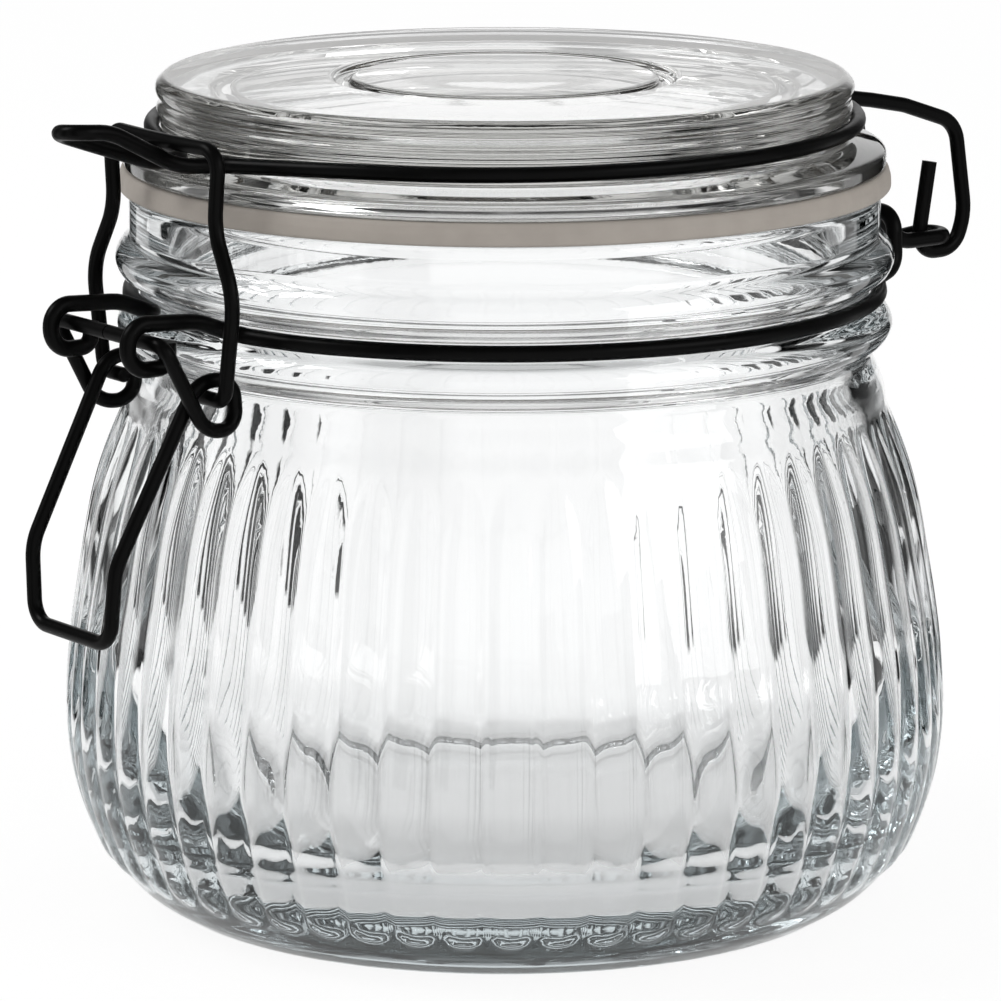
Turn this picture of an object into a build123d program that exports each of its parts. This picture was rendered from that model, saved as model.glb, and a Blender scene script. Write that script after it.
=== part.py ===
"""Clip-top glass canister: fluted glass jar, glass lid, rubber gasket and a wire latch.

Millimetres. +Z is up, the origin is the centre of the base. The latch is at -Y, the hinge at +Y.
"""
from build123d import *
import os
from math import atan2, cos, radians, sin, tan

os.makedirs("parts", exist_ok=True)

# ---------------------------------------------------------------- wire gauges
NECK_WIRE_D = 2.0
LID_WIRE_D = 1.9
LEVER_WIRE_D = 1.8
LINK_WIRE_D = 1.8

# ---------------------------------------------------------------- clearances
SEAT_GAP = 0.15          # wire to the glass groove that holds it
PIVOT_GAP = 0.30         # wire to wire where one turns in or on the other
MOUTH_GAP = 1.2          # lid spigot to the mouth of the jar, on the radius
LATCH_GAP = 0.30         # link bar to the tongue that it holds down
BUTT_GAP = 0.2           # the lever's two ends meet in the middle of its pivot bar
TWIST_GAP = 0.15         # one turn of a coil to the next

# ---------------------------------------------------------------- jar
BASE_R = 43.5            # flat foot
FOOT_EDGE = 1.0
HEEL_R = 50.2            # rounded heel above the foot
HEEL_Z = 6.0
BELLY_R = 54.8           # widest part
BELLY_Z = 23.0
FLANK_R = 52.8           # halfway up the side
FLANK_Z = 42.5
SHOULDER_R = 45.3        # top of the shoulder, where the neck starts
SHOULDER_Z = 67.0
SHOULDER_BLEND = 1.0
NECK_RING_R = 48.1       # lower ring of the neck
NECK_RING_Z = 72.2
RING_SLOPE = 1.7         # height of the soft slopes on each side of a ring
BEAD_R = 48.2            # bead above the neck wire
BEAD_Z = 80.2
NECK_R = 46.3            # plain neck above the bead
RIM_Z = 88.7             # flat rim that the gasket seals on
GLASS_EDGE = 0.8         # softened edges of pressed glass
MOUTH_R = 42.0
WALL = 4.0
FLOOR = 8.0
FLOOR_INSET = 9.5        # the flat inside floor is this much smaller than the foot
CORNER_INSET = 1.5       # rounded corner between the floor and the wall
FLOOR_BLEND = 2.0
FLANK_WALL = 3.4         # thinner wall halfway up

# ---------------------------------------------------------------- gasket and lid
GASKET_R = 47.5
GASKET_TAPER = 0.4
GASKET_T = 2.8
GASKET_BORE_R = 41.2
FLANGE_R = 46.9
FLANGE_T = 2.3
FLANGE_EDGE = 0.5
FLANGE_SLOPE = 0.75      # the flange rises by this toward the wire groove
FLANGE_SLOPE_R = 43.8
WIRE_STEP = 0.3          # small step up into the wire groove
LID_RISE = 5.9           # top of the lid above its wire
DISC_R = 42.9            # top disc of the lid
DISC_EDGE = 1.2
WAIST_R = 42.2           # slight hollow round the side of the disc
DISH = 0.5               # the top sinks by this inside its rim
SPIGOT_DEPTH = 1.6       # below the rim
SPIGOT_IN_R = 36.5
UNDERSIDE_R = 34.0
UNDERSIDE_RISE = 1.0     # the underside domes up by this inside the spigot
RECESS_R = 21.0          # shallow ring sunk in the top of the lid
RECESS_W = 2.2
RECESS_DEPTH = 0.5
RECESS_SLOPE = 0.4

# ---------------------------------------------------------------- wire rings
NECK_WIRE_Z = 76.0
NECK_WIRE_R = 46.1       # to the centre of the wire
LID_WIRE_LIFT = 3.0      # lid wire above the edge of the flange
LID_WIRE_Z = RIM_Z + GASKET_T + FLANGE_T + LID_WIRE_LIFT
LID_WIRE_R = 43.3
LID_WIRE_RISE = 0.4      # the link pulls the latch side down by this, the hinge side stands up by it

# ---------------------------------------------------------------- latch eyes of the neck wire
PIVOT_Y = -57.9          # centre of the latch eyes
PIVOT_Z = 76.0
EYE_X = 8.4              # half the distance between the eyes
EYE_R = 2.8              # centre line of an eye
EYE_LEAD_Y = -51.0       # the wire leaves the eye toward the jar as far as this,
EYE_LEAD_FALL = 0.6      # falling by this
LATCH_EXIT = -75.0       # where the wire leaves the groove for the eyes, degrees from +X

# ---------------------------------------------------------------- hinge loops of the neck wire
HINGE_X = 10.0
HINGE_Y = 61.2
HINGE_Z = 77.9
RISER = 60.5             # where the wire climbs over the bead, degrees from +X
RISER_LEAD = 8.0         # it leaves the groove this many degrees before
UPPER_Z = 83.6           # run above the bead
LOOP_SLACK = 0.2         # half the spare room between a hinge loop and the hook in it
LOOP_LEVEL_Y = 53.0      # outer side of a loop: level from here out
LOOP_RETURN_Y = 50.5     # inner side of a loop: level to here, then down to the groove

# ---------------------------------------------------------------- lid wire
LID_EXIT_FRONT = -70.0   # where the wire leaves the lid groove for the tongue, degrees from +X
LID_EXIT_BACK = 68.0     # and for the hinge arms
TONGUE_X = 2.6           # half the distance between the tongue's two wires
TONGUE_FLARE = 1.4       # the two wires stand this much wider where they leave the groove
TONGUE_START_FALL = 1.2  # heights of the tongue are measured from the lid wire
TONGUE_ROOT_Y = -49.6
TONGUE_ROOT_FALL = 1.1
TONGUE_KNEE_Y = -58.9
TONGUE_KNEE_RISE = 3.8
TONGUE_Y = -63.8         # tip
TONGUE_RISE = 4.2
TONGUE_DIP = 1.9         # the far side of the tongue is bent down by this behind its tip
ARM_KNEE_Y = 55.4        # hinge arm: level from the groove, over a knee and down to the hook
ARM_KNEE_RISE = 17.0     # above the hinge line
ARM_SHOULDER_Y = 50.0
ARM_SHOULDER_FALL = 0.8  # below the lid wire
ARM_DROP_Y = 63.9
ARM_DROP_RISE = 14.1     # above the hinge line
HOOK_END_RISE = 9.4      # upright cut end of the hook, above the hinge line

# ---------------------------------------------------------------- lever
LEG_X = 11.8             # lever leg at the eye
BAR_SAG = 0.2            # the pivot bar hangs this much below the crown of the eye
COIL_Y = -50.3           # centre of the lever's coils
COIL_Z = 68.4
COIL_R = 2.9             # centre line of a coil
HANDLE_KNEE = (9.15, 10.5, 50.0)    # X, distance out from the flank, Z
HANDLE_FOOT = (8.25, 8.8, 40.7)     # X, distance out from the belly, Z
FOOT_BEND = 3.0

# ---------------------------------------------------------------- link
LINK_SLACK = 0.5         # link leg to the side of the coil
COIL_SLACK = 0.1         # link end to the coil, beyond the pivot clearance
LINK_END = 1.2           # the link's ends stand this far past the coil
LINK_BULGE = (15.2, -50.3, 81.6)
LINK_WAIST = (10.8, -50.0, 89.3)
LINK_TOP_X = 11.7
LINK_SEAT_Y = -51.7      # where the link bar bears on the tongue
LINK_BOW = 0.8           # the bar stands this much further out in its middle

# ---------------------------------------------------------------- wire bending
ROOM = 0.48              # share of a run that one bend may use
RING_STEP = 18.0         # degrees between the corners of a wire that hugs the glass
TIGHT = 2.5
SOFT = 4.0
BROAD = 8.0


def bends(route):
    """Split a route of (x, y, z, bend) rows into its points and the radius at each inner corner.

    A bend of 0 takes the largest radius that its two runs leave room for.
    """
    points = [Vector(x, y, z) for x, y, z, _ in route]
    radii = []
    for before, corner, after, row in zip(points, points[1:], points[2:], route[1:]):
        half_turn = radians((corner - before).get_angle(after - corner)) / 2
        largest = ROOM * min((corner - before).length, (after - corner).length) / tan(half_turn)
        radii.append(min(row[3], largest) if row[3] else largest)
    return points, radii


def around(radius, angle, height, bend):
    """One row of a route, given about the jar's axis."""
    return (radius * cos(radians(angle)), radius * sin(radians(angle)), height, bend)


def ring_rows(radius, height, start, stop):
    """Corners, outside a circle about the jar's axis, whose rounded polygon hugs that circle."""
    count = max(1, round(abs(stop - start) / RING_STEP))
    step = (stop - start) / count
    corner_r = radius / cos(radians(step / 2))
    return [around(corner_r, start + step * (index + 0.5), height, 0) for index in range(count)]


def tangent_y(radius, angle, x):
    """Y at a given X on the line that touches a circle about the jar's axis at an angle."""
    return (radius - x * cos(radians(angle))) / sin(radians(angle))


def mirrored(route):
    """The same route on the far side of the YZ plane, run the other way."""
    return [(-x, y, z, bend) for x, y, z, bend in reversed(route)]


# ---------------------------------------------------------------- jar
GROOVE_R = NECK_WIRE_R - NECK_WIRE_D / 2 - SEAT_GAP
with BuildPart() as jar:
    with BuildSketch(Plane.XZ):
        with BuildLine():
            foot = Line((0, 0), (BASE_R - FOOT_EDGE, 0))
            side = Spline(
                foot @ 1, (HEEL_R, HEEL_Z), (BELLY_R, BELLY_Z), (FLANK_R, FLANK_Z),
                (SHOULDER_R + SHOULDER_BLEND, SHOULDER_Z - SHOULDER_BLEND), tangents=((1, 0.1), (-0.35, 1)),
            )
            Polyline(
                side @ 1, (SHOULDER_R, SHOULDER_Z + SHOULDER_BLEND),
                (NECK_RING_R - GLASS_EDGE, NECK_RING_Z - RING_SLOPE), (NECK_RING_R, NECK_RING_Z),
                (NECK_RING_R - GLASS_EDGE, NECK_RING_Z + RING_SLOPE),
                (GROOVE_R, NECK_WIRE_Z - NECK_WIRE_D / 2), (GROOVE_R, NECK_WIRE_Z + NECK_WIRE_D / 2),
                (BEAD_R - GLASS_EDGE, BEAD_Z - RING_SLOPE), (BEAD_R, BEAD_Z),
                (BEAD_R - GLASS_EDGE, BEAD_Z + RING_SLOPE),
                (NECK_R, BEAD_Z + RING_SLOPE + SHOULDER_BLEND), (NECK_R, RIM_Z - GLASS_EDGE),
                (NECK_R - GLASS_EDGE, RIM_Z), (MOUTH_R + GLASS_EDGE, RIM_Z), (MOUTH_R, RIM_Z - GLASS_EDGE),
                (MOUTH_R, SHOULDER_Z + SHOULDER_BLEND),
            )
            inner = Spline(
                (MOUTH_R, SHOULDER_Z + SHOULDER_BLEND), (FLANK_R - FLANK_WALL, FLANK_Z),
                (BELLY_R - WALL, BELLY_Z),
                (BASE_R - CORNER_INSET, FLOOR + FLOOR_BLEND), (BASE_R - FLOOR_INSET, FLOOR),
                tangents=((0.3, -1), (-1, 0)),
            )
            Line(inner @ 1, (0, FLOOR))
            Line((0, FLOOR), (0, 0))
        make_face()
    revolve(axis=Axis.Z)
jar.part.label = "jar"

# ---------------------------------------------------------------- gasket
GASKET_TOP = RIM_Z + GASKET_T
with BuildPart() as gasket:
    with BuildSketch(Plane.XZ):
        with BuildLine():
            Polyline(
                (GASKET_BORE_R, RIM_Z), (GASKET_R, RIM_Z), (GASKET_R - GASKET_TAPER, GASKET_TOP),
                (GASKET_BORE_R, GASKET_TOP), close=True,
            )
        make_face()
    revolve(axis=Axis.Z)
gasket.part.label = "gasket"

# ---------------------------------------------------------------- lid
FLANGE_TOP = GASKET_TOP + FLANGE_T
SPIGOT_R = MOUTH_R - MOUTH_GAP
SPIGOT_Z = RIM_Z - SPIGOT_DEPTH
LID_GROOVE_R = LID_WIRE_R - LID_WIRE_D / 2 - SEAT_GAP
GROOVE_TOP = LID_WIRE_Z + LID_WIRE_D
LID_TOP_Z = LID_WIRE_Z + LID_RISE
TOP_Z = LID_TOP_Z - DISH
with BuildPart() as lid:
    with BuildSketch(Plane.XZ):
        with BuildLine():
            Polyline(
                (0, GASKET_TOP + UNDERSIDE_RISE), (UNDERSIDE_R, GASKET_TOP), (SPIGOT_IN_R, SPIGOT_Z),
                (SPIGOT_R - FLANGE_EDGE, SPIGOT_Z), (SPIGOT_R, SPIGOT_Z + FLANGE_EDGE),
                (SPIGOT_R, GASKET_TOP),
                (FLANGE_R, GASKET_TOP), (FLANGE_R, FLANGE_TOP - FLANGE_EDGE),
                (FLANGE_R - FLANGE_EDGE, FLANGE_TOP), (FLANGE_SLOPE_R, FLANGE_TOP + FLANGE_SLOPE),
                (LID_GROOVE_R, FLANGE_TOP + FLANGE_SLOPE + WIRE_STEP),
                (LID_GROOVE_R, LID_WIRE_Z + LID_WIRE_D / 2), (DISC_R, GROOVE_TOP),
                (WAIST_R, GROOVE_TOP + GLASS_EDGE), (DISC_R, LID_TOP_Z - DISC_EDGE - GLASS_EDGE),
                (DISC_R, LID_TOP_Z - DISC_EDGE), (DISC_R - DISC_EDGE, LID_TOP_Z),
                (RECESS_R, TOP_Z), (RECESS_R - RECESS_SLOPE, TOP_Z - RECESS_DEPTH),
                (RECESS_R - RECESS_W + RECESS_SLOPE, TOP_Z - RECESS_DEPTH), (RECESS_R - RECESS_W, TOP_Z),
                (0, TOP_Z), close=True,
            )
        make_face()
    revolve(axis=Axis.Z)
lid.part.label = "lid"

# ---------------------------------------------------------------- neck wire
UPPER_R = NECK_R + NECK_WIRE_D / 2 + SEAT_GAP
RISER_R = BEAD_R + NECK_WIRE_D / 2 + SEAT_GAP
LOOP_HALF = (LID_WIRE_D + NECK_WIRE_D) / 2 + PIVOT_GAP + LOOP_SLACK
LOOP_OUT_X = HINGE_X + LOOP_HALF
LOOP_IN_X = HINGE_X - LOOP_HALF
EYE_TOP = PIVOT_Z + EYE_R
eye_rows = [
    (EYE_X, PIVOT_Y + EYE_R, EYE_TOP - NECK_WIRE_D - EYE_LEAD_FALL, 0),
    (EYE_X, PIVOT_Y + EYE_R, PIVOT_Z - EYE_R, 0),
    (EYE_X, PIVOT_Y - EYE_R, PIVOT_Z - EYE_R, 0),
    (EYE_X, PIVOT_Y - EYE_R, EYE_TOP, 0),
    (EYE_X, EYE_LEAD_Y, EYE_TOP - EYE_LEAD_FALL, BROAD),
    (EYE_X, tangent_y(NECK_WIRE_R, LATCH_EXIT, EYE_X), NECK_WIRE_Z, SOFT),
]
riser_rows = [
    around(NECK_WIRE_R / cos(radians(RISER_LEAD)), RISER, NECK_WIRE_Z, TIGHT),
    around(RISER_R, RISER + 3, NECK_WIRE_Z + 1, TIGHT),
    around(RISER_R, RISER + 4, UPPER_Z - LOOP_SLACK, TIGHT),
    around(UPPER_R, RISER + 9, UPPER_Z, SOFT),
]
loop_rows = [
    (LOOP_OUT_X, UPPER_R, UPPER_Z, TIGHT),
    (LOOP_OUT_X, LOOP_LEVEL_Y, HINGE_Z, SOFT),
    (LOOP_OUT_X, HINGE_Y, HINGE_Z, 0),
    (LOOP_IN_X, HINGE_Y, HINGE_Z, 0),
    (LOOP_IN_X, LOOP_RETURN_Y, HINGE_Z - 1, SOFT),
    (LOOP_IN_X, NECK_WIRE_R, NECK_WIRE_Z, TIGHT),
]
neck_ring = ring_rows(NECK_WIRE_R, NECK_WIRE_Z, LATCH_EXIT, RISER - RISER_LEAD)
near_half = eye_rows + neck_ring + riser_rows + loop_rows
neck_points, neck_radii = bends(near_half + mirrored(near_half))
with BuildPart() as neck_wire:
    with BuildLine() as neck_path:
        FilletPolyline(*neck_points, radius=neck_radii)
    with BuildSketch(Plane(origin=neck_path.line @ 0, z_dir=neck_path.line % 0)):
        Circle(NECK_WIRE_D / 2)
    sweep(path=neck_path.line)
neck_wire.part.label = "neck_wire"

# ---------------------------------------------------------------- lid wire
HOOK = (NECK_WIRE_D + LID_WIRE_D) / 2 + PIVOT_GAP
hook_rows = [
    (HINGE_X, HINGE_Y - HOOK + 0.8, HINGE_Z + HOOK_END_RISE, 0),
    (HINGE_X, HINGE_Y - HOOK - 1.2, HINGE_Z - HOOK, 0),
    (HINGE_X, HINGE_Y + HOOK + 0.6, HINGE_Z - HOOK, 0),
    (HINGE_X, HINGE_Y + 2 * HOOK, HINGE_Z + HOOK, BROAD),
    (HINGE_X, ARM_DROP_Y, HINGE_Z + ARM_DROP_RISE, SOFT),
    (HINGE_X, ARM_KNEE_Y, HINGE_Z + ARM_KNEE_RISE, BROAD),
    (HINGE_X, ARM_SHOULDER_Y, LID_WIRE_Z - ARM_SHOULDER_FALL, BROAD),
    (HINGE_X, tangent_y(LID_WIRE_R, LID_EXIT_BACK, HINGE_X), LID_WIRE_Z + LID_WIRE_RISE, TIGHT),
]
TONGUE_START_Z = LID_WIRE_Z - TONGUE_START_FALL
TONGUE_ROOT_Z = LID_WIRE_Z - TONGUE_ROOT_FALL
TONGUE_KNEE_Z = LID_WIRE_Z + TONGUE_KNEE_RISE
TONGUE_Z = LID_WIRE_Z + TONGUE_RISE


def tongue_rows(dip):
    """One side of the tongue, from the groove out to its tip."""
    start_x = TONGUE_X + TONGUE_FLARE
    return [
        (start_x, tangent_y(LID_WIRE_R, LID_EXIT_FRONT, start_x), TONGUE_START_Z, SOFT),
        (TONGUE_X, TONGUE_ROOT_Y, TONGUE_ROOT_Z - dip * 0.1, BROAD),
        (TONGUE_X, TONGUE_KNEE_Y, TONGUE_KNEE_Z - dip, BROAD),
        (TONGUE_X, TONGUE_Y, TONGUE_Z - dip * 0.3, 0),
    ]


lid_ring = [
    (x, y, z + LID_WIRE_RISE * y / LID_WIRE_R, bend)
    for x, y, z, bend in reversed(ring_rows(LID_WIRE_R, LID_WIRE_Z, LID_EXIT_FRONT, LID_EXIT_BACK))
]
near_lid = hook_rows + lid_ring + tongue_rows(0)
far_lid = hook_rows + lid_ring + tongue_rows(TONGUE_DIP)
lid_points, lid_radii = bends(near_lid + mirrored(far_lid))
with BuildPart() as lid_wire:
    with BuildLine() as lid_path:
        FilletPolyline(*lid_points, radius=lid_radii)
    with BuildSketch(Plane(origin=lid_path.line @ 0, z_dir=lid_path.line % 0)):
        Circle(LID_WIRE_D / 2)
    sweep(path=lid_path.line)
lid_wire.part.label = "lid_wire"

# ---------------------------------------------------------------- lever
COIL_PITCH = LEVER_WIRE_D + TWIST_GAP
BAR_Z = EYE_TOP - (NECK_WIRE_D + LEVER_WIRE_D) / 2 - PIVOT_GAP - BAR_SAG
near_lever = [
    (BUTT_GAP / 2, PIVOT_Y, BAR_Z, 0),
    (LEG_X, PIVOT_Y, BAR_Z, 1.6),
    (LEG_X, COIL_Y - COIL_R * 0.65, COIL_Z - COIL_R, 0),
    (LEG_X - COIL_PITCH * 0.35, COIL_Y + COIL_R, COIL_Z - COIL_R, 0),
    (LEG_X - COIL_PITCH * 0.7, COIL_Y + COIL_R, COIL_Z + COIL_R, 0),
    (LEG_X - COIL_PITCH, COIL_Y - COIL_R * 0.6, COIL_Z + COIL_R, 0),
    (HANDLE_KNEE[0], -(FLANK_R + HANDLE_KNEE[1]), HANDLE_KNEE[2], BROAD),
    (HANDLE_FOOT[0], -(BELLY_R + HANDLE_FOOT[1]), HANDLE_FOOT[2], FOOT_BEND),
]
lever_points, lever_radii = bends(near_lever + mirrored(near_lever))
with BuildPart() as lever:
    with BuildLine() as lever_path:
        FilletPolyline(*lever_points, radius=lever_radii)
    with BuildSketch(Plane(origin=lever_path.line @ 0, z_dir=lever_path.line % 0)):
        Circle(LEVER_WIRE_D / 2)
    sweep(path=lever_path.line)
lever.part.label = "lever"

# ---------------------------------------------------------------- link
LINK_SEAT_Z = COIL_Z + COIL_R - (LEVER_WIRE_D + LINK_WIRE_D) / 2 - PIVOT_GAP - COIL_SLACK
LINK_OUT_X = LEG_X - COIL_PITCH * 0.7 + (LEVER_WIRE_D + LINK_WIRE_D) / 2 + PIVOT_GAP + LINK_SLACK
TONGUE_RUN = TONGUE_ROOT_Y - TONGUE_KNEE_Y
TONGUE_SLOPE = atan2(TONGUE_KNEE_Z - TONGUE_ROOT_Z, TONGUE_RUN)
BAR_RISE = (LID_WIRE_D + LINK_WIRE_D) / 2 + LATCH_GAP
LINK_TOP_Y = LINK_SEAT_Y + BAR_RISE * sin(TONGUE_SLOPE)
LINK_TOP_Z = TONGUE_ROOT_Z + (TONGUE_ROOT_Y - LINK_SEAT_Y) * tan(TONGUE_SLOPE) + BAR_RISE * cos(TONGUE_SLOPE)
link_half = [
    (LEG_X - COIL_PITCH - LINK_END, COIL_Y, LINK_SEAT_Z, 0),
    (LINK_OUT_X, COIL_Y, LINK_SEAT_Z, 1.9),
    (*LINK_BULGE, BROAD),
    (*LINK_WAIST, BROAD),
    (LINK_TOP_X, LINK_TOP_Y + LINK_BOW, LINK_TOP_Z, TIGHT),
    (0, LINK_TOP_Y, LINK_TOP_Z, 0),
]
link_points, link_radii = bends(link_half + mirrored(link_half[:-1]))
with BuildPart() as link:
    with BuildLine() as link_path:
        FilletPolyline(*link_points, radius=link_radii)
    with BuildSketch(Plane(origin=link_path.line @ 0, z_dir=link_path.line % 0)):
        Circle(LINK_WIRE_D / 2)
    sweep(path=link_path.line)
link.part.label = "link"

# ---------------------------------------------------------------- write
export_step(jar.part, "parts/jar.step")
export_step(lid.part, "parts/lid.step")
export_step(gasket.part, "parts/gasket.step")
export_step(neck_wire.part, "parts/neck_wire.step")
export_step(lid_wire.part, "parts/lid_wire.step")
export_step(lever.part, "parts/lever.step")
export_step(link.part, "parts/link.step")
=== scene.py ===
"""Clip-top glass canister: pressed glass, rubber seal, coated wire, studio and camera round the frame.

Lengths are given in millimetres and turned into metres when a mesh is made. +Z is up, the jar's axis
is X = Y = 0, the latch is at -Y and the hinge at +Y.
"""
import logging
import math
from dataclasses import dataclass
from enum import Enum
from typing import Any, Callable, Optional, Sequence

import bpy
import numpy as np
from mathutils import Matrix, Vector


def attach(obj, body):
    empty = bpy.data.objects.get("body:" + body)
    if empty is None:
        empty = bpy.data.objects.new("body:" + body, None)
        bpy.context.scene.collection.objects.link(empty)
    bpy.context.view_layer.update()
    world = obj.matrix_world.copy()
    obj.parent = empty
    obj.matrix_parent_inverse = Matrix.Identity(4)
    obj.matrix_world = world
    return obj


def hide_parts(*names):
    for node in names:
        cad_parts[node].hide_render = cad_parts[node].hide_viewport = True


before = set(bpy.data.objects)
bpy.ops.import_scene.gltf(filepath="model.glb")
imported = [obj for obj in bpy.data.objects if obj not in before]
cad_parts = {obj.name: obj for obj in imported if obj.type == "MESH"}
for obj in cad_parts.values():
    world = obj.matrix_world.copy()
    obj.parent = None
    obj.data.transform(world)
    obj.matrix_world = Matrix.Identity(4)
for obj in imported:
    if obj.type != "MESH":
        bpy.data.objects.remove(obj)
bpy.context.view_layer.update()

MM = 0.001
LOG = logging.getLogger("canister")

WHITE = "#ffffff"
BLACK = "#000000"
ON_AXIS_MM = 1e-6
NO_TRIANGLES = np.zeros((0, 3), int)

Points = Sequence[tuple[float, float]]
Place = tuple[float, float, float]
Relief = Callable[[np.ndarray, np.ndarray], np.ndarray]


class Body(Enum):
    """The rigid bodies that the pieces ride on."""

    JAR = "jar_body"
    LID = "lid_body"


class Slot(Enum):
    """The record's material slots."""

    GLASS = "glass"
    RUBBER = "gasket_rubber"
    WIRE = "black_wire"


# ------------------------------------------------------------------ colour and nodes
def linear(hex_colour: str) -> tuple[float, float, float, float]:
    """Turn an sRGB hex colour into the linear colour that a shader takes.

    Args:
        hex_colour: six hex digits after a hash.

    Returns:
        Linear red, green, blue and an alpha of 1.
    """
    srgb = np.array([int(hex_colour[i : i + 2], 16) for i in (1, 3, 5)]) / 255.0
    lin = np.where(srgb <= 0.04045, srgb / 12.92, ((srgb + 0.055) / 1.055) ** 2.4)
    return (float(lin[0]), float(lin[1]), float(lin[2]), 1.0)


def add_node(
    tree: bpy.types.NodeTree, kind: str, settings: Optional[dict[str, Any]] = None, **inputs: Any
) -> bpy.types.Node:
    """Add one node, set its properties, and set or link its inputs.

    Args:
        tree: the node tree that takes the node.
        kind: the node's Blender type name.
        settings: property names and values.
        **inputs: input names, with underscores for spaces, or in0, in1 for numbered inputs. A value
            that is an output socket is linked, and any other value is set.

    Returns:
        The new node.
    """
    node = tree.nodes.new(kind)
    for name, value in (settings or {}).items():
        setattr(node, name, value)
    for name, value in inputs.items():
        numbered = name[:2] == "in" and name[2:].isdigit()
        socket = node.inputs[int(name[2:]) if numbered else name.replace("_", " ")]
        if isinstance(value, bpy.types.NodeSocket):
            tree.links.new(value, socket)
        else:
            socket.default_value = value
    return node


def new_material(name: str) -> tuple[bpy.types.Material, bpy.types.NodeTree, bpy.types.Node]:
    """Make an empty node material and its output.

    Args:
        name: the material's name.

    Returns:
        The material, its tree and its output node.
    """
    material = bpy.data.materials.new(name)
    material.use_nodes = True
    tree = material.node_tree
    tree.nodes.clear()
    return material, tree, tree.nodes.new("ShaderNodeOutputMaterial")


# ------------------------------------------------------------------ finishes
@dataclass(frozen=True)
class PressedGlass:
    """Soda-lime glass, pressed in an iron mould and fire-polished.

    To the eye it is clear and glossy. The faint tint shows only where the glass is thick or is looked
    through edge on, because the absorption works by the depth. The slow ripples left by the cooling
    glass and the fine texture of the mould bend what is seen through it. The texture of a real mould
    is about 0.3 mm, and is drawn at 1.1 mm, coarse enough to show.
    """

    name: str = "pressed_soda_lime_glass"
    tint: str = WHITE
    depth_tint: str = "#bfcdd1"
    density: float = 12.0
    ior: float = 1.5
    roughness: float = 0.0
    ripple_mm: float = 9.0
    ripple_height_mm: float = 0.012
    ripple_detail: float = 1.0
    texture_mm: float = 1.1
    texture_height_mm: float = 0.002
    texture_detail: float = 2.0

    def material(self) -> bpy.types.Material:
        """Build the glass.

        Returns:
            The material.
        """
        material, tree, out = new_material(self.name)
        place = add_node(tree, "ShaderNodeTexCoord").outputs["Object"]
        slow = add_node(
            tree, "ShaderNodeTexNoise", Vector=place, Scale=1 / (self.ripple_mm * MM),
            Detail=self.ripple_detail,
        )
        fine = add_node(
            tree, "ShaderNodeTexNoise", Vector=place, Scale=1 / (self.texture_mm * MM),
            Detail=self.texture_detail,
        )
        wave = add_node(
            tree, "ShaderNodeBump", Height=slow.outputs[0], Strength=1.0,
            Distance=self.ripple_height_mm * MM,
        )
        skin = add_node(
            tree, "ShaderNodeBump", Height=fine.outputs[0], Normal=wave.outputs[0], Strength=1.0,
            Distance=self.texture_height_mm * MM,
        )
        shader = add_node(
            tree, "ShaderNodeBsdfPrincipled", Base_Color=linear(self.tint), Roughness=self.roughness,
            IOR=self.ior, Transmission_Weight=1.0, Normal=skin.outputs[0],
        )
        inside = add_node(
            tree, "ShaderNodeVolumeAbsorption", Color=linear(self.depth_tint), Density=self.density
        )
        tree.links.new(shader.outputs[0], out.inputs["Surface"])
        tree.links.new(inside.outputs[0], out.inputs["Volume"])
        return material


@dataclass(frozen=True)
class MouldedRubber:
    """Natural rubber, moulded and dusted with talc.

    To the eye it is matt and grey-beige, with a soft mottle where the talc lies thicker. The grain of
    real talc is under 0.1 mm, and is drawn at 0.5 mm, coarse enough to show.
    """

    name: str = "moulded_grey_rubber"
    colour: str = "#8c857e"
    dusty: str = "#9c958d"
    roughness: float = 0.62
    mottle_mm: float = 3.0
    mottle_detail: float = 3.0
    grain_mm: float = 0.5
    grain_detail: float = 2.0
    grain_height_mm: float = 0.03
    grain_strength: float = 0.6

    def material(self) -> bpy.types.Material:
        """Build the rubber.

        Returns:
            The material.
        """
        material, tree, out = new_material(self.name)
        place = add_node(tree, "ShaderNodeTexCoord").outputs["Object"]
        mottle = add_node(
            tree, "ShaderNodeTexNoise", Vector=place, Scale=1 / (self.mottle_mm * MM),
            Detail=self.mottle_detail,
        )
        grain = add_node(
            tree, "ShaderNodeTexNoise", Vector=place, Scale=1 / (self.grain_mm * MM),
            Detail=self.grain_detail,
        )
        colour = add_node(
            tree, "ShaderNodeMix", {"data_type": "RGBA"}, in0=mottle.outputs[0],
            in6=linear(self.colour), in7=linear(self.dusty),
        )
        skin = add_node(
            tree, "ShaderNodeBump", Height=grain.outputs[0], Strength=self.grain_strength,
            Distance=self.grain_height_mm * MM,
        )
        shader = add_node(
            tree, "ShaderNodeBsdfPrincipled", Base_Color=colour.outputs[2], Roughness=self.roughness,
            Normal=skin.outputs[0],
        )
        tree.links.new(shader.outputs[0], out.inputs["Surface"])
        return material


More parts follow.
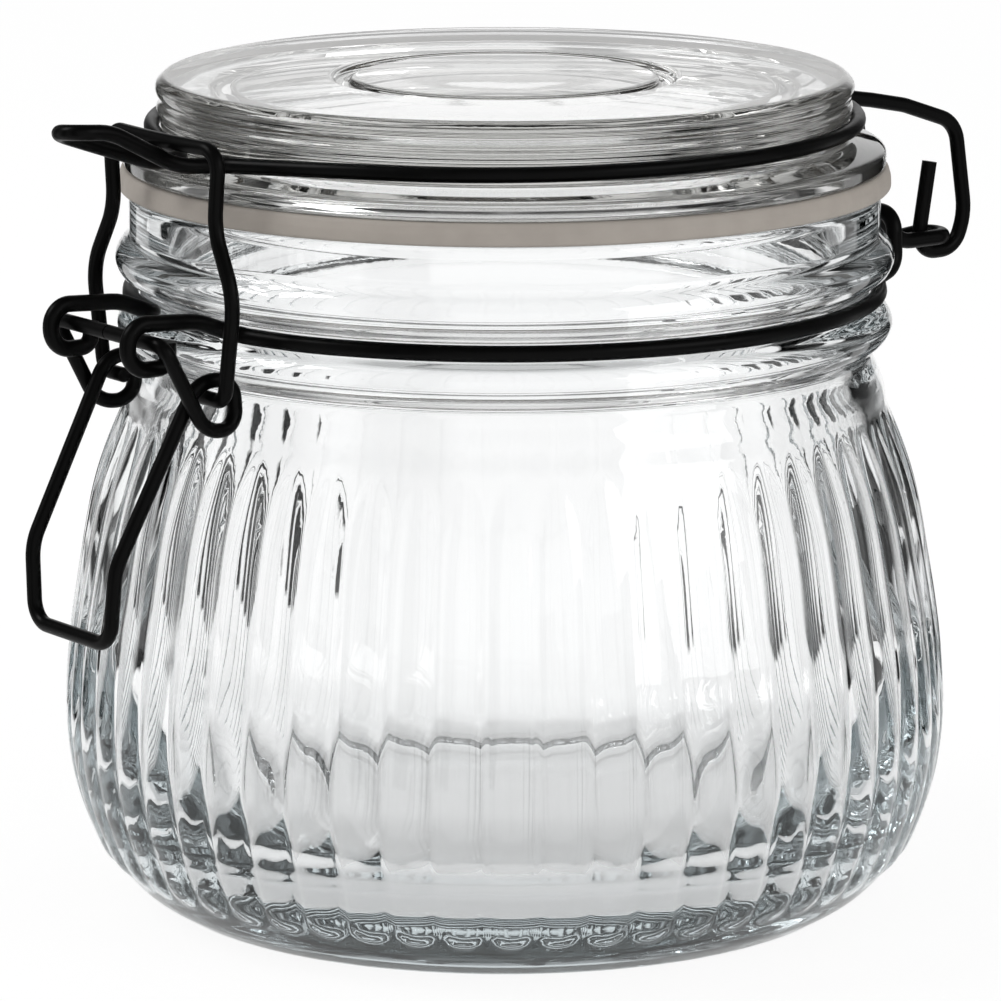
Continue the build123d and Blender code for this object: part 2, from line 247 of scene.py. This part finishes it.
@dataclass(frozen=True)
class CoatedWire:
    """Steel wire dipped in black nylon powder, which melts into a thin coat.

    To the eye it is near black and satin, and its gloss varies where the coat ran thicker. The
    orange-peel grain of a real coat is about 0.2 mm, and is drawn at 0.6 mm, coarse enough to show.
    """

    name: str = "black_nylon_coated_wire"
    colour: str = "#030303"
    worn: str = "#080808"
    specular: float = 0.06
    roughness_low: float = 0.26
    roughness_high: float = 0.42
    patch_mm: float = 4.0
    patch_detail: float = 3.0
    grain_mm: float = 0.6
    grain_detail: float = 2.0
    grain_height_mm: float = 0.02
    grain_strength: float = 0.5

    def material(self) -> bpy.types.Material:
        """Build the coating.

        Returns:
            The material.
        """
        material, tree, out = new_material(self.name)
        place = add_node(tree, "ShaderNodeTexCoord").outputs["Object"]
        patch = add_node(
            tree, "ShaderNodeTexNoise", Vector=place, Scale=1 / (self.patch_mm * MM),
            Detail=self.patch_detail,
        )
        grain = add_node(
            tree, "ShaderNodeTexNoise", Vector=place, Scale=1 / (self.grain_mm * MM),
            Detail=self.grain_detail,
        )
        colour = add_node(
            tree, "ShaderNodeMix", {"data_type": "RGBA"}, in0=patch.outputs[0],
            in6=linear(self.colour), in7=linear(self.worn),
        )
        rough = add_node(
            tree, "ShaderNodeMapRange", Value=patch.outputs[0], To_Min=self.roughness_low,
            To_Max=self.roughness_high,
        )
        skin = add_node(
            tree, "ShaderNodeBump", Height=grain.outputs[0], Strength=self.grain_strength,
            Distance=self.grain_height_mm * MM,
        )
        shader = add_node(
            tree, "ShaderNodeBsdfPrincipled", Base_Color=colour.outputs[2],
            Roughness=rough.outputs[0], Specular_IOR_Level=self.specular, Normal=skin.outputs[0],
        )
        tree.links.new(shader.outputs[0], out.inputs["Surface"])
        return material


# ------------------------------------------------------------------ surfaces
def eased(corners: Points, radius: float, steps: int, short_share: float = 0.45) -> np.ndarray:
    """Round the corners of a profile.

    Each inner corner C is swapped for the curve (1-t)^2 A + 2t(1-t) C + t^2 B, where A and B lie on
    its two runs at the given distance from it, or at the given share of a run too short for that.

    Args:
        corners: the profile's (r, z) corners in millimetres.
        radius: distance from a corner at which its curve starts.
        steps: points on each curve.
        short_share: the most that a curve takes of a run.

    Returns:
        Profile points, one row each.
    """
    p = np.asarray(corners, float)
    corner = p[1:-1]
    run_in = p[:-2] - corner
    run_out = p[2:] - corner
    len_in = np.linalg.norm(run_in, axis=1)
    len_out = np.linalg.norm(run_out, axis=1)
    a = corner + run_in * (np.minimum(radius, short_share * len_in) / len_in)[:, None]
    b = corner + run_out * (np.minimum(radius, short_share * len_out) / len_out)[:, None]
    t = np.linspace(0, 1, steps)[None, :, None]
    arcs = (1 - t) ** 2 * a[:, None] + 2 * t * (1 - t) * corner[:, None] + t**2 * b[:, None]
    return np.vstack([p[:1], arcs.reshape(-1, 2), p[-1:]])


def flowing(knots: Points, count: int) -> np.ndarray:
    """Run a smooth curve through a profile's knots.

    It is a cubic Hermite curve over the chord length, with the slopes at the knots from finite
    differences.

    Args:
        knots: (r, z) knots in millimetres.
        count: number of points wanted.

    Returns:
        Profile points, evenly spaced along the chord length.
    """
    p = np.asarray(knots, float)
    chord = np.concatenate([[0], np.cumsum(np.linalg.norm(np.diff(p, axis=0), axis=1))])
    slope = np.gradient(p, chord, axis=0)
    s = np.linspace(0, chord[-1], count)
    i = np.clip(np.searchsorted(chord, s, side="right") - 1, 0, len(p) - 2)
    h = (chord[i + 1] - chord[i])[:, None]
    t = ((s - chord[i]) / h[:, 0])[:, None]
    return (
        (2 * t**3 - 3 * t**2 + 1) * p[i]
        + (t**3 - 2 * t**2 + t) * h * slope[i]
        + (3 * t**2 - 2 * t**3) * p[i + 1]
        + (t**3 - t**2) * h * slope[i + 1]
    )


def put_mesh(
    name: str, corners: np.ndarray, quads: np.ndarray, triangles: np.ndarray
) -> bpy.types.Object:
    """Put arrays of points and faces into a new smooth-shaded object at the origin.

    Args:
        name: the object's name.
        corners: points in millimetres, one row each.
        quads: four point numbers a row.
        triangles: three point numbers a row.

    Returns:
        The new object, linked to the scene.
    """
    mesh = bpy.data.meshes.new(name)
    mesh.vertices.add(len(corners))
    mesh.vertices.foreach_set("co", (corners * MM).ravel())
    loops = np.concatenate([quads.ravel(), triangles.ravel()])
    sizes = np.concatenate([np.full(len(quads), 4), np.full(len(triangles), 3)])
    mesh.loops.add(len(loops))
    mesh.loops.foreach_set("vertex_index", loops)
    mesh.polygons.add(len(sizes))
    mesh.polygons.foreach_set("loop_start", np.concatenate([[0], np.cumsum(sizes)[:-1]]))
    mesh.polygons.foreach_set("use_smooth", np.ones(len(sizes), bool))
    mesh.update(calc_edges=True)
    mesh.validate()
    made = bpy.data.objects.new(name, mesh)
    bpy.context.scene.collection.objects.link(made)
    return made


def turned(
    name: str, profile: np.ndarray, around: int, relief: Optional[Relief] = None
) -> bpy.types.Object:
    """Turn a profile about the Z axis into a closed skin.

    A point at (r, z) of the profile and at angle a goes to (r' cos a, r' sin a, z), where r' is r less
    the relief there. A profile that starts and ends on the axis is closed by two poles, and any other
    is a closed loop.

    Args:
        name: the object's name.
        profile: (r, z) rows, running outward below, up outside and back inside, which makes the faces
            point out.
        around: number of steps round the axis.
        relief: gives the depth in millimetres by profile row and angle.

    Returns:
        The new object.
    """
    angle = np.linspace(0, 2 * math.pi, around, endpoint=False)
    poled = profile[0, 0] < ON_AXIS_MM
    rows = profile[1:-1] if poled else profile
    r = np.repeat(rows[:, :1], around, axis=1)
    z = np.repeat(rows[:, 1:], around, axis=1)
    if relief is not None:
        r = r - relief(rows, angle)
    skin = np.stack([r * np.cos(angle), r * np.sin(angle), z], axis=-1).reshape(-1, 3)
    steps = len(rows) - 1 if poled else len(rows)
    i, j = np.meshgrid(np.arange(steps), np.arange(around), indexing="ij")
    here = i * around
    above = (i + 1) % len(rows) * around
    beside = (j + 1) % around
    quads = np.stack([here + j, here + beside, above + beside, above + j], axis=-1).reshape(-1, 4)
    if not poled:
        return put_mesh(name, skin, quads, NO_TRIANGLES)
    low_pole = len(skin)
    high_pole = low_pole + 1
    skin = np.vstack([skin, [0, 0, profile[0, 1]], [0, 0, profile[-1, 1]]])
    ring = np.arange(around)
    step = (ring + 1) % around
    top = (len(rows) - 1) * around
    triangles = np.vstack([
        np.stack([np.full(around, low_pole), step, ring], axis=-1),
        np.stack([np.full(around, high_pole), top + ring, top + step], axis=-1),
    ])
    return put_mesh(name, skin, quads, triangles)


def smooth_step(x: np.ndarray) -> np.ndarray:
    """Ease from 0 to 1 as x goes from 0 to 1: 3x^2 - 2x^3, held at the ends."""
    x = np.clip(x, 0, 1)
    return x * x * (3 - 2 * x)


def settle(
    piece: bpy.types.Object, body: Body, material: bpy.types.Material, replaced: str
) -> None:
    """Give a new piece its finish and its body, and hide the CAD node that it stands for.

    Args:
        piece: the new piece.
        body: the rigid body that it rides on.
        material: its finish.
        replaced: name of the CAD node that it stands for.
    """
    piece.data.materials.clear()
    piece.data.materials.append(material)
    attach(piece, body.value)
    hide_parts(replaced)
    LOG.info("%s: %d faces on %s", piece.name, len(piece.data.polygons), body.value)


# ------------------------------------------------------------------ jar
@dataclass
class FlutedJar:
    """The jar: a rounded body with upright convex ribs, a ringed neck and a thick foot."""

    finish: PressedGlass = PressedGlass()
    around: int = 560
    ribs: int = 56
    rib_depth: float = 0.55
    rib_low: float = 5.2
    rib_high: float = 61.5
    rib_fullness: float = 1.4
    arch: float = 13.0
    foot_arch: float = 2.6
    blend: float = 3.5
    foot_ease: float = 1.2
    neck_ease: float = 0.9
    ease_steps: int = 4
    side_rows: int = 84
    inner_rows: int = 28
    foot: Points = ((0, 0.9), (33.0, 0.9), (36.5, 0.0), (41.6, 0.0))
    side: Points = (
        (43.2, 0.35), (46.6, 2.5), (50.2, 6.0), (52.15, 10.0), (53.5, 14.0), (54.75, 22.5),
        (54.4, 31.0), (52.75, 42.5), (50.9, 52.0), (48.4, 60.0), (46.4, 65.6), (45.5, 67.6),
    )
    neck: Points = (
        (45.5, 67.6), (45.4, 69.2), (47.2, 70.4), (48.0, 72.1), (47.2, 73.9), (44.95, 75.0),
        (44.95, 77.2), (47.3, 78.3), (48.15, 80.2), (47.4, 82.0), (46.2, 83.1), (46.2, 87.9),
        (45.5, 88.7), (42.8, 88.7), (42.0, 87.9), (42.0, 68.5),
    )
    inner: Points = (
        (42.0, 68.5), (43.2, 64.0), (45.0, 58.0), (47.4, 50.0), (49.4, 42.5), (51.3, 34.0),
        (51.4, 28.0), (50.3, 21.0), (48.0, 16.4), (45.0, 12.4), (41.5, 9.6), (36.0, 8.1),
        (28.0, 7.9),
    )
    inner_floor: Points = ((14.0, 7.8), (0, 7.8))

    def relief(self, rows: np.ndarray, angle: np.ndarray, ribbed: int) -> np.ndarray:
        """Depth below the envelope, which the ribs' crowns touch.

        With u the place across a rib, from 0 on its crown to 1 in the groove, and v the way past the
        start of its end arch in arch lengths, a rib stands 1 - (u^2 + v^2)^fullness of the depth above
        its groove. The grooves fade out beyond the arches.

        Args:
            rows: the profile's (r, z) rows.
            angle: angles round the axis.
            ribbed: how many of the first rows are on the outside, where the ribs are.

        Returns:
            Depths, by row and angle.
        """
        z = rows[:, 1][:, None]
        outside = np.arange(len(rows))[:, None] < ribbed
        u = 2 * np.abs((angle * self.ribs / (2 * math.pi)) % 1.0 - 0.5)[None, :]
        above = np.clip((z - (self.rib_high - self.arch)) / self.arch, 0, None)
        below = np.clip(((self.rib_low + self.foot_arch) - z) / self.foot_arch, 0, None)
        crown = np.clip(1 - (u**2 + above**2 + below**2) ** self.rib_fullness, 0, 1)
        fade_high = smooth_step((self.rib_high + self.blend - z) / self.blend)
        fade_low = smooth_step((z - self.rib_low + self.blend) / self.blend)
        ground = fade_high * fade_low
        return np.where(outside, self.rib_depth * ground * (1 - crown), 0.0)

    def build(self) -> None:
        """Make the jar and dress it.

        Its profile runs from the middle of the foot up the side, round the neck, and down the inner
        wall to the middle of the inner floor. The first of its rows becomes a pole, not a ring.
        """
        foot = eased(self.foot, self.foot_ease, self.ease_steps)
        side = flowing(self.side, self.side_rows)
        neck = eased(self.neck, self.neck_ease, self.ease_steps)[1:-1]
        inner = flowing(self.inner, self.inner_rows)
        profile = np.vstack([foot, side, neck, inner, self.inner_floor])
        ribbed = len(foot) + len(side) - 1
        skin = turned(
            "jar_glass", profile, self.around, lambda rows, angle: self.relief(rows, angle, ribbed)
        )
        settle(skin, Body.JAR, self.finish.material(), "jar")


# ------------------------------------------------------------------ lid
@dataclass
class GlassLid:
    """The lid: a thick disc with a ring sunk in its top, a wire groove, a flange and a spigot below.

    It comes from a paler batch than the jar, so its depth is neutral and not cool.
    """

    finish: PressedGlass = PressedGlass(name="pressed_neutral_glass", depth_tint="#c9c9c5")
    around: int = 384
    ease: float = 0.55
    ease_steps: int = 6
    outline: Points = (
        (0, 92.5), (20.0, 92.3), (33.6, 91.5), (36.3, 87.15), (40.2, 87.15), (40.75, 87.7),
        (40.8, 91.5), (46.8, 91.52), (46.85, 93.3), (46.3, 93.8), (43.8, 94.5), (42.2, 94.8),
        (42.2, 97.7), (42.85, 98.7), (42.2, 99.6), (42.85, 100.6), (42.85, 101.6), (41.7, 102.65),
        (38.0, 102.45), (21.3, 102.2), (20.6, 101.3), (19.3, 101.3), (18.6, 102.2), (9.0, 102.15),
        (0, 102.1),
    )

    def build(self) -> None:
        """Make the lid and dress it."""
        profile = eased(self.outline, self.ease, self.ease_steps)
        skin = turned("lid_glass", profile, self.around)
        settle(skin, Body.LID, self.finish.material(), "lid")


# ------------------------------------------------------------------ seal
@dataclass
class Seal:
    """The sealing ring, softly rounded at its edges and slightly bulged by the squeeze."""

    finish: MouldedRubber = MouldedRubber()
    around: int = 256
    ease: float = 0.25
    ease_steps: int = 4
    section: Points = (
        (44.3, 88.71), (47.1, 88.71), (47.45, 89.0), (47.4, 90.2), (47.1, 91.2), (46.8, 91.49),
        (41.4, 91.49), (41.25, 91.2), (41.25, 89.0), (41.4, 88.71), (44.3, 88.71),
    )

    def build(self) -> None:
        """Make the ring and dress it. Its section is a loop, so the last row gives way to the first."""
        section = eased(self.section, self.ease, self.ease_steps)[:-1]
        skin = turned("seal_ring", section, self.around)
        settle(skin, Body.LID, self.finish.material(), "gasket")


# ------------------------------------------------------------------ wires
@dataclass
class WireWork:
    """The four bent wires, which keep the CAD shapes and bodies and take the coated finish."""

    finish: CoatedWire = CoatedWire()
    nodes: tuple[str, ...] = ("neck_wire", "lid_wire", "lever", "link")

    def build(self) -> None:
        """Dress the wires, all with one coating."""
        coating = self.finish.material()
        for name in self.nodes:
            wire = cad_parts[name]
            wire.data.materials.clear()
            wire.data.materials.append(coating)
            LOG.info("%s: %d faces kept", name, len(wire.data.polygons))


# ------------------------------------------------------------------ studio
@dataclass(frozen=True)
class Flag:
    """A black card beside the set.

    It has the way to it from the camera's aim and its half width in degrees, and its start in
    millimetres from the jar's axis.
    """

    bearing: float
    half_width: float
    start: float


@dataclass(frozen=True)
class SoftLamp:
    """A square soft lamp: its name, its place and side in millimetres, and its power in watts."""

    name: str
    place: Place
    side: float
    power: float


@dataclass
class Studio:
    """A white floor and surround with dark flags, soft lamps, and the camera."""

    floor_half: float = 2500.0
    floor_drop: float = 0.1
    # the floor's own light, as a share of white: what any bent or direct look gets, and what a direct
    # look gets on top. The rest of the white is lit paper, which takes the canister's shadow.
    glow_share: float = 0.5
    glow_direct: float = 0.42
    flags: tuple[Flag, ...] = (
        Flag(-36, 12, 150), Flag(24, 6, 230), Flag(58, 12, 125), Flag(-74, 11, 125),
        Flag(103, 9, 180), Flag(-120, 9, 180), Flag(148, 9, 180),
    )
    flag_edge: float = 15.0
    # degrees over which a card's side fades, laid on the floor and standing in the air
    card_blur: float = 2.0
    air_blur: float = 9.0
    air_shade: float = 0.05
    # the ceiling darkens between these two heights, given as the sine of the way up
    ceiling_low: float = 0.40
    ceiling_high: float = 0.65
    ceiling_shade: float = 0.2
    surround: float = 0.75
    lamps: tuple[SoftLamp, ...] = (
        SoftLamp("key", (-500, -700, 900), 500, 6.0),
        SoftLamp("fill", (900, 300, 500), 600, 3.0),
    )
    lamp_aim: Place = (0, 0, 50)
    camera_at: Place = (604.76, -443.59, 207.5)
    camera_aim: Place = (-0.7893, 0.5781, -0.2069)
    lens_mm: float = 221.754246
    sensor_mm: float = 36.0
    clip_near: float = 0.05
    clip_far: float = 20.0
    # a look along the thick foot or the lid's edge is turned back inside the glass many times, and
    # with fewer bounces it would end black
    bounces: int = 24
    glossy_bounces: int = 12
    glass_bounces: int = 20

    def bent(self, tree: bpy.types.NodeTree) -> bpy.types.NodeSocket:
        """Add the test for a look that has met glass or gloss on its way.

        Args:
            tree: the node tree.

        Returns:
            A socket that is 1 for such a look.
        """
        path = add_node(tree, "ShaderNodeLightPath")
        return add_node(
            tree, "ShaderNodeMath", {"operation": "MAXIMUM"}, in0=path.outputs["Is Glossy Ray"],
            in1=path.outputs["Is Transmission Ray"],
        ).outputs[0]

    def flagged(
        self, tree: bpy.types.NodeTree, way: bpy.types.NodeSocket, laid: bool
    ) -> bpy.types.NodeSocket:
        """Add the flags' shade: 1 in the open and 0 on a black card.

        A card covers a place whose bearing is within its half width, which is where the cosine of the
        turn from the card is above that of the half width. The open parts left by all cards multiply.

        Args:
            tree: the node tree.
            way: the direction from the jar's axis, or the place on the floor.
            laid: whether the cards lie on the floor, where each has a start.

        Returns:
            The socket that carries the shade.
        """
        flat = add_node(
            tree, "ShaderNodeVectorMath", {"operation": "MULTIPLY"}, in0=way, in1=(1, 1, 0)
        ).outputs[0]
        ahead = add_node(
            tree, "ShaderNodeVectorMath", {"operation": "NORMALIZE"}, in0=flat
        ).outputs[0]
        away = add_node(
            tree, "ShaderNodeVectorMath", {"operation": "LENGTH"}, in0=flat
        ).outputs["Value"]
        aim = math.atan2(self.camera_aim[1], self.camera_aim[0])
        blur = self.card_blur if laid else self.air_blur
        shade: bpy.types.NodeSocket | float = 1.0
        for flag in self.flags:
            turn = aim + math.radians(flag.bearing)
            toward = add_node(
                tree, "ShaderNodeVectorMath", {"operation": "DOT_PRODUCT"}, in0=ahead,
                in1=(math.cos(turn), math.sin(turn), 0),
            ).outputs["Value"]
            card = add_node(
                tree, "ShaderNodeMapRange", Value=toward,
                From_Min=math.cos(math.radians(flag.half_width + blur)),
                From_Max=math.cos(math.radians(flag.half_width)),
            ).outputs[0]
            if laid:
                beyond = add_node(
                    tree, "ShaderNodeMapRange", Value=away, From_Min=flag.start * MM,
                    From_Max=(flag.start + self.flag_edge) * MM,
                ).outputs[0]
                card = add_node(
                    tree, "ShaderNodeMath", {"operation": "MULTIPLY"}, in0=card, in1=beyond
                ).outputs[0]
            lit = add_node(
                tree, "ShaderNodeMath", {"operation": "SUBTRACT"}, in0=1.0, in1=card
            ).outputs[0]
            shade = add_node(
                tree, "ShaderNodeMath", {"operation": "MULTIPLY"}, in0=shade, in1=lit
            ).outputs[0]
        return shade

    def make_world(self) -> None:
        """Light the set evenly all round, white where it shows, with dark flags for glass and gloss."""
        world = bpy.data.worlds.new("surround")
        bpy.context.scene.world = world
        world.use_nodes = True
        tree = world.node_tree
        tree.nodes.clear()
        out = tree.nodes.new("ShaderNodeOutputWorld")
        way = add_node(tree, "ShaderNodeTexCoord").outputs["Generated"]
        height = add_node(tree, "ShaderNodeSeparateXYZ", in0=way).outputs[2]
        ceiling = add_node(
            tree, "ShaderNodeMapRange", Value=height, From_Min=self.ceiling_low,
            From_Max=self.ceiling_high, To_Min=1.0, To_Max=self.ceiling_shade,
        ).outputs[0]
        cards = add_node(
            tree, "ShaderNodeMapRange", Value=self.flagged(tree, way, laid=False),
            To_Min=self.air_shade, To_Max=1.0,
        ).outputs[0]
        light = add_node(
            tree, "ShaderNodeMath", {"operation": "MULTIPLY"}, in0=ceiling, in1=cards
        ).outputs[0]
        shown = add_node(tree, "ShaderNodeBackground", Color=linear(WHITE), Strength=1.0)
        glassy = add_node(tree, "ShaderNodeBackground", Color=linear(WHITE), Strength=light)
        lamp = add_node(tree, "ShaderNodeBackground", Color=linear(WHITE), Strength=self.surround)
        lit = add_node(
            tree, "ShaderNodeMixShader", in0=self.bent(tree), in1=lamp.outputs[0],
            in2=glassy.outputs[0],
        )
        path = add_node(tree, "ShaderNodeLightPath")
        both = add_node(
            tree, "ShaderNodeMixShader", in0=path.outputs["Is Camera Ray"], in1=lit.outputs[0],
            in2=shown.outputs[0],
        )
        tree.links.new(both.outputs[0], out.inputs["Surface"])

    def make_floor(self) -> None:
        """Lay the floor: white where it is seen or bent into view, darker in the canister's shade."""
        material, tree, out = new_material("white_paper_floor")
        paper = add_node(tree, "ShaderNodeBsdfDiffuse", Color=linear(WHITE))
        glow = add_node(tree, "ShaderNodeEmission", Color=linear(WHITE), Strength=1.0)
        black = add_node(tree, "ShaderNodeEmission", Color=linear(BLACK), Strength=0.0)
        camera = add_node(tree, "ShaderNodeLightPath").outputs["Is Camera Ray"]
        bent = self.bent(tree)
        seen = add_node(
            tree, "ShaderNodeMath", {"operation": "MAXIMUM"}, in0=camera, in1=bent
        ).outputs[0]
        direct = add_node(
            tree, "ShaderNodeMath", {"operation": "MULTIPLY"}, in0=camera, in1=self.glow_direct
        ).outputs[0]
        share = add_node(
            tree, "ShaderNodeMath", {"operation": "MULTIPLY_ADD"}, in0=seen, in1=self.glow_share,
            in2=direct,
        ).outputs[0]
        white = add_node(
            tree, "ShaderNodeMixShader", in0=share, in1=paper.outputs[0], in2=glow.outputs[0]
        )
        place = add_node(tree, "ShaderNodeTexCoord").outputs["Object"]
        hidden = add_node(
            tree, "ShaderNodeMath", {"operation": "SUBTRACT"}, in0=1.0,
            in1=self.flagged(tree, place, laid=True),
        ).outputs[0]
        darker = add_node(
            tree, "ShaderNodeMath", {"operation": "MULTIPLY"}, in0=hidden, in1=bent
        ).outputs[0]
        shown = add_node(
            tree, "ShaderNodeMixShader", in0=darker, in1=white.outputs[0], in2=black.outputs[0]
        )
        tree.links.new(shown.outputs[0], out.inputs["Surface"])
        h = self.floor_half
        z = -self.floor_drop
        corners = np.array([[-h, -h, z], [h, -h, z], [h, h, z], [-h, h, z]], float)
        floor = put_mesh("floor", corners, np.array([[0, 1, 2, 3]]), NO_TRIANGLES)
        floor.data.materials.append(material)

    def hang(self, lamp: SoftLamp) -> None:
        """Hang a lamp that points at the canister.

        Args:
            lamp: the lamp to hang.
        """
        data = bpy.data.lights.new(lamp.name, "AREA")
        data.size = lamp.side * MM
        data.energy = lamp.power
        made = bpy.data.objects.new(lamp.name, data)
        made.location = Vector(lamp.place) * MM
        toward = Vector(self.lamp_aim) - Vector(lamp.place)
        made.rotation_mode = "QUATERNION"
        made.rotation_quaternion = toward.to_track_quat("-Z", "Y")
        bpy.context.scene.collection.objects.link(made)

    def make_camera(self) -> None:
        """Place the camera and make it the scene's."""
        data = bpy.data.cameras.new("camera")
        data.sensor_width = self.sensor_mm
        data.lens = self.lens_mm
        data.clip_start = self.clip_near
        data.clip_end = self.clip_far
        camera = bpy.data.objects.new("camera", data)
        camera.location = Vector(self.camera_at) * MM
        camera.rotation_mode = "QUATERNION"
        camera.rotation_quaternion = Vector(self.camera_aim).to_track_quat("-Z", "Y")
        bpy.context.scene.collection.objects.link(camera)
        bpy.context.scene.camera = camera

    def build(self) -> None:
        """Set the studio up."""
        self.make_world()
        self.make_floor()
        for lamp in self.lamps:
            self.hang(lamp)
        self.make_camera()
        bpy.context.scene.view_settings.view_transform = "Standard"
        cycles = bpy.context.scene.cycles
        cycles.max_bounces = self.bounces
        cycles.glossy_bounces = self.glossy_bounces
        cycles.transmission_bounces = self.glass_bounces


def main() -> None:
    """Build the canister's pieces in order, then the studio."""
    logging.basicConfig(level=logging.INFO, format="%(name)s: %(message)s")
    FlutedJar().build()
    GlassLid().build()
    Seal().build()
    WireWork().build()
    Studio().build()


if __name__ == "__main__":
    main()
